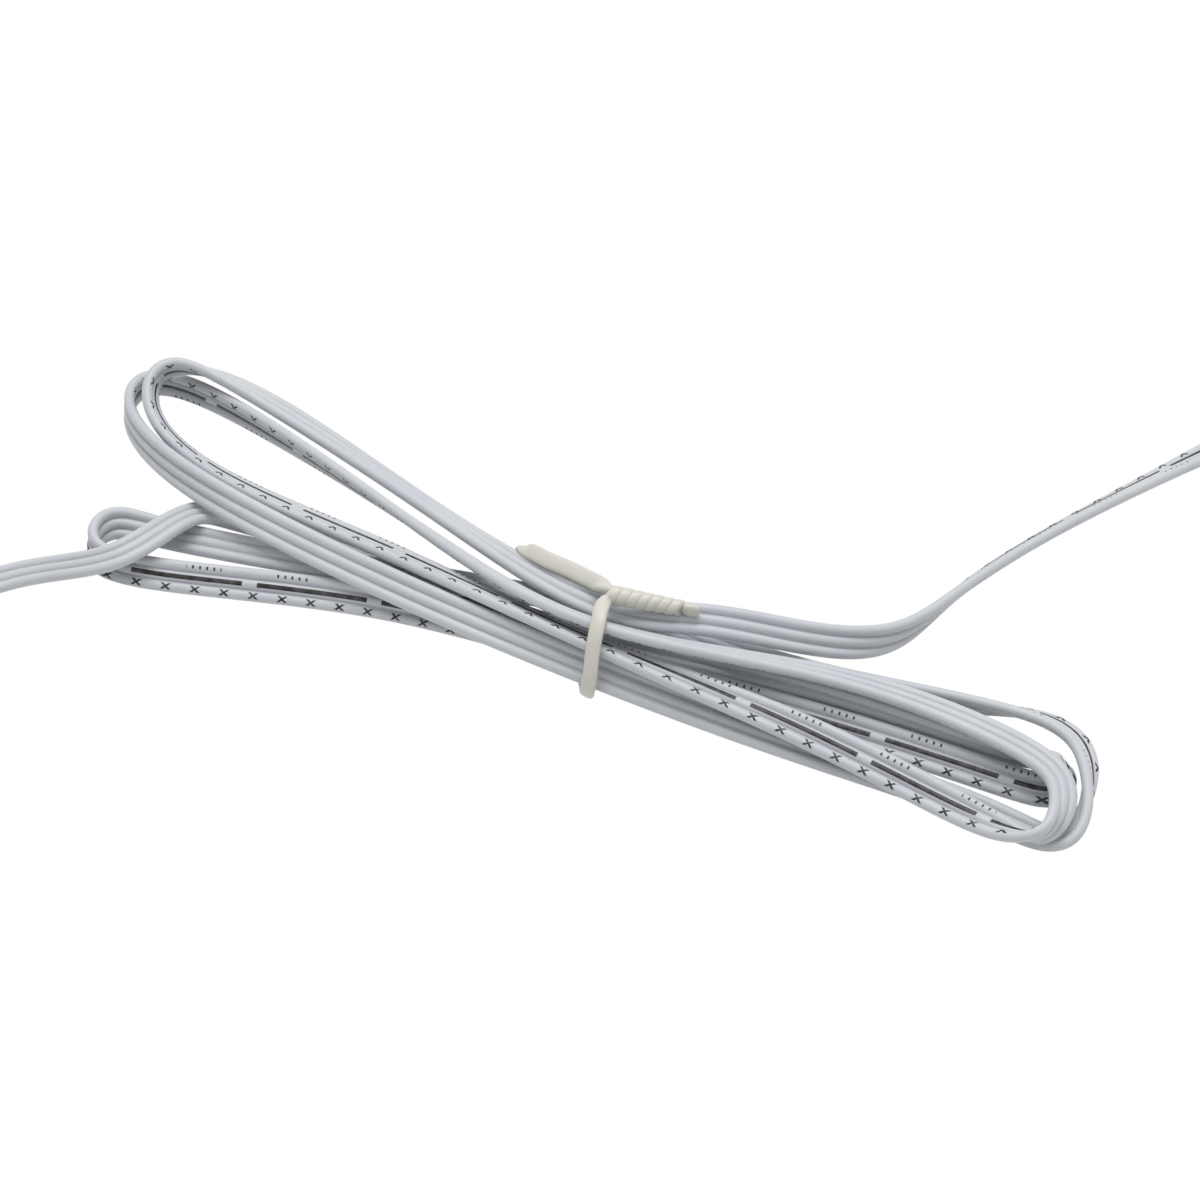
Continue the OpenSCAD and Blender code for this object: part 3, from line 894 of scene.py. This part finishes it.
@dataclass
class Studio:
    """A flat white floor under a world that is white to the camera, a large soft lamp overhead and the
    camera.
    """

    azimuth: float = 28.0
    elevation: float = 45.0
    distance: float = 470.0
    lens: float = 97.0
    sensor: float = 36.0
    waist_height: float = 7.8
    waist_at: tuple[float, float] = (597.0, 628.0)
    frame_px: int = 1200
    floor_half: float = 3000.0
    floor_z: float = -0.05
    sky: Colour = (0.975, 0.985, 1.0, 1.0)
    sky_strength: float = 0.55
    lamp_place: Triple = (-0.1, 0.25, 0.9)
    lamp_size: float = 0.7
    lamp_watts: float = 6.0

    def camera(self) -> None:
        """A camera that sees the waist at its place in the frame."""
        a, e = math.radians(self.azimuth), math.radians(self.elevation)
        look = np.array([-math.sin(a) * math.cos(e), math.cos(a) * math.cos(e), -math.sin(e)])
        right = np.array([math.cos(a), math.sin(a), 0.0])
        up = np.cross(right, look)
        scale = self.distance / (self.frame_px * self.lens / self.sensor)
        x = (self.waist_at[0] - self.frame_px / 2) * scale
        y = (self.frame_px / 2 - self.waist_at[1]) * scale
        waist = np.array(HANK_PLACE) + [0.0, 0.0, self.waist_height]
        place = waist - self.distance * look - x * right - y * up
        data = bpy.data.cameras.new("camera")
        data.lens, data.sensor_width = self.lens, self.sensor
        data.clip_start, data.clip_end = 0.01, 20.0
        camera = bpy.data.objects.new("camera", data)
        turn = Matrix([[right[k], up[k], -look[k]] for k in range(3)]).to_4x4()
        camera.matrix_world = Matrix.Translation(Vector(place * MM)) @ turn
        bpy.context.scene.collection.objects.link(camera)
        bpy.context.scene.camera = camera

    def lamp(self) -> None:
        """One square area lamp, which hangs at lamp_place in metres and faces the origin."""
        data = bpy.data.lights.new("overhead", "AREA")
        data.size, data.energy = self.lamp_size, self.lamp_watts
        lamp = bpy.data.objects.new("overhead", data)
        lamp.location = Vector(self.lamp_place)
        lamp.rotation_euler = (-Vector(self.lamp_place)).to_track_quat("-Z", "Y").to_euler()
        bpy.context.scene.collection.objects.link(lamp)

    def white(self) -> bpy.types.Material:
        """The floor's material, which the camera, gloss and glass see as white."""
        s = Shader("floor_white")
        s.set(Base_Color=(0.8, 0.8, 0.8, 1.0), Roughness=0.9, Specular_IOR_Level=0.0)
        glow = s.node("Emission")
        glow.inputs["Strength"].default_value = 1.0
        path = s.node("LightPath")
        passing = s.math("MAXIMUM", path.outputs["Is Glossy Ray"], path.outputs["Is Transmission Ray"])
        mix = s.node("MixShader")
        s.join(s.math("MAXIMUM", path.outputs["Is Camera Ray"], passing), mix.inputs["Fac"])
        s.join(s.surface.outputs["BSDF"], mix.inputs[1])
        s.join(glow.outputs["Emission"], mix.inputs[2])
        s.join(mix.outputs["Shader"], s.tree.nodes["Material Output"].inputs["Surface"])
        return s.material

    def floor(self) -> None:
        """The white floor, just under the object."""
        x, y = np.meshgrid([-self.floor_half, self.floor_half], [-self.floor_half, self.floor_half])
        corners = np.stack([x.ravel(), y.ravel(), np.full(4, self.floor_z)], -1)
        floor = build_mesh("floor", corners, [np.array([[0, 1, 3, 2]])])
        floor.data.materials.append(self.white())

    def world(self) -> None:
        """The world: white to the camera, and a dim cool sky to everything else."""
        world = bpy.data.worlds.new("world")
        bpy.context.scene.world = world
        world.use_nodes = True
        tree = world.node_tree
        sky = tree.nodes["Background"]
        sky.inputs["Color"].default_value = self.sky
        sky.inputs["Strength"].default_value = self.sky_strength
        bright = tree.nodes.new("ShaderNodeBackground")
        path = tree.nodes.new("ShaderNodeLightPath")
        mix = tree.nodes.new("ShaderNodeMixShader")
        tree.links.new(path.outputs["Is Camera Ray"], mix.inputs["Fac"])
        tree.links.new(sky.outputs[0], mix.inputs[1])
        tree.links.new(bright.outputs[0], mix.inputs[2])
        tree.links.new(mix.outputs[0], tree.nodes["World Output"].inputs["Surface"])

    def build(self) -> None:
        """The camera, the floor, the world and the lamp."""
        self.camera()
        self.floor()
        self.world()
        self.lamp()
        bpy.context.scene.view_settings.view_transform = "Standard"


# ---------------------------------------------------------------------------------------
# Assembly
# ---------------------------------------------------------------------------------------


def finishes() -> dict[Slot, bpy.types.Material]:
    """Each slot's material."""
    makers = {
        Slot.CABLE: CableJacket(),
        Slot.TIE: MouldedPlastic(
            "tie_strip", colour(220, 218, 208), colour(208, 205, 194), (0.3, 0.45), grain=400.0
        ),
        Slot.WIRE: PlainMetal("tie_wire_steel", colour(150, 150, 150), colour(120, 120, 120)),
        Slot.SLEEVE: MouldedPlastic(
            "sleeve_shrink", colour(218, 220, 223), colour(206, 209, 214), (0.4, 0.55)
        ),
        Slot.HOUSING: MouldedPlastic(
            "nylon", colour(228, 225, 214), colour(218, 214, 201), (0.3, 0.42), glow=0.3
        ),
        Slot.CONTACT: PlainMetal("tin_plate", colour(206, 205, 200), colour(180, 179, 174)),
        Slot.COPPER: PlainMetal("bare_copper", colour(196, 130, 92), colour(168, 104, 70)),
    }
    return {slot: maker.material() for slot, maker in makers.items()}


@dataclass
class Dresser:
    """Gives pieces their materials, hangs each on the body it rides on and hides the CAD nodes it stands
    for.
    """

    housing_rounding: float = 0.18
    latch_rounding: float = 0.12
    looks: dict[Slot, bpy.types.Material] = field(default_factory=finishes)

    def dress(self, piece: bpy.types.Object, slot: Slot) -> bpy.types.Object:
        """Gives a piece its slot's material."""
        piece.data.materials.clear()
        piece.data.materials.append(self.looks[slot])
        return piece

    def on_cable(self, piece: bpy.types.Object, slot: Slot, *nodes: str) -> bpy.types.Object:
        """Dresses a piece that rides on the cable and stands for the CAD nodes named."""
        self.dress(piece, slot)
        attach(piece, Body.CABLE.value)
        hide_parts(*nodes)
        return piece

    def end(self, name: str, place: Array, facing: int) -> list[bpy.types.Object]:
        """One end's sleeve, split cores and housing.

        Args:
            name: The end's name.
            place: Where the ribbon ends, in metres.
            facing: 1 where it points to +x, and -1 where it points to -x.

        Returns:
            The pieces, which the cord carries.
        """
        split = SplitEnd(name, tuple(place / MM), facing)
        pieces = [self.on_cable(split.sleeve(), Slot.SLEEVE, f"{name}_sleeve")]
        for c in (-1, 0, 1):
            pieces.append(self.on_cable(split.core(c), Slot.CABLE, f"{name}_core_{c + 2}"))
        housing = softened(f"{name}_housing", f"{name}_block", self.housing_rounding, Body.CABLE)
        return [*pieces, self.dress(housing, Slot.HOUSING)]

    def latch(self) -> bpy.types.Object:
        """The outlet's latch, which rocks on its pivot."""
        latch = softened("outlet_latch", "outlet_lever", self.latch_rounding, Body.LATCH)
        return self.dress(latch, Slot.HOUSING)

    def metal(self) -> None:
        """Every pin, contact, bare conductor and the tie's wire, in their own CAD shapes."""
        for k in (1, 2, 3):
            for node, slot in (
                (f"inlet_pin_{k}", Slot.CONTACT),
                (f"outlet_contact_{k}", Slot.CONTACT),
                (f"inlet_conductor_{k}", Slot.COPPER),
                (f"outlet_conductor_{k}", Slot.COPPER),
            ):
                self.dress(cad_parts[node], slot)
        self.dress(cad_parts["tie_wire"], Slot.WIRE)


def main() -> None:
    logging.basicConfig(level=logging.INFO, format="%(message)s")
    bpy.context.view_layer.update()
    dresser = Dresser()

    ribbon = Ribbon()
    cord, line = ribbon.build()
    dresser.on_cable(cord, Slot.CABLE, "hank", "left_lead", "right_lead")
    start, end = ribbon.ends()
    on_cord = [dresser.on_cable(TwistTie().build(), Slot.TIE, "twist_tie")]
    on_cord += dresser.end("inlet", start, -1) + dresser.end("outlet", end, 1)
    on_cord.append(dresser.latch())
    dresser.metal()

    Studio().build()


if __name__ == "__main__":
    main()
